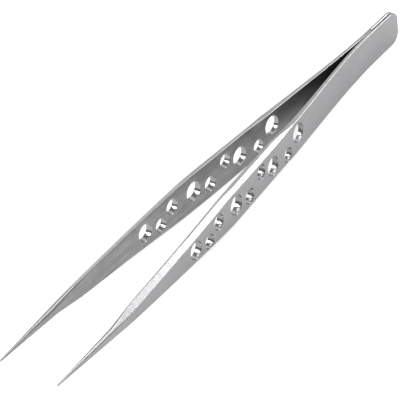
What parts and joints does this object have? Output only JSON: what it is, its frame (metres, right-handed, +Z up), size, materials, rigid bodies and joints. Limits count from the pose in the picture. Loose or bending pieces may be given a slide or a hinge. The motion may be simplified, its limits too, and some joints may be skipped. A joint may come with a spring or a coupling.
{
  "type": "straight tweezers",
  "caption": "Straight steel tweezers with needle tips, bevelled bowed arms and a perforated grip, joined at the heel, for lifting small delicate parts by hand.",
  "frame": {"origin": "centre of the bounding box in X and Y, at the height of the surface that the tweezers lie on", "axes": "+X along the tweezers from the tips to the heel, +Y the way the left arm opens, +Z up across the width of the arms"},
  "size_m": [0.155, 0.0186, 0.0099],
  "materials": {
    "steel": "satin ground stainless steel with fine lengthwise brushing and bright bevels"
  },
  "bodies": {
    "root": {"arm_left": "steel", "arm_right": "steel"}
  },
  "joints": []
}
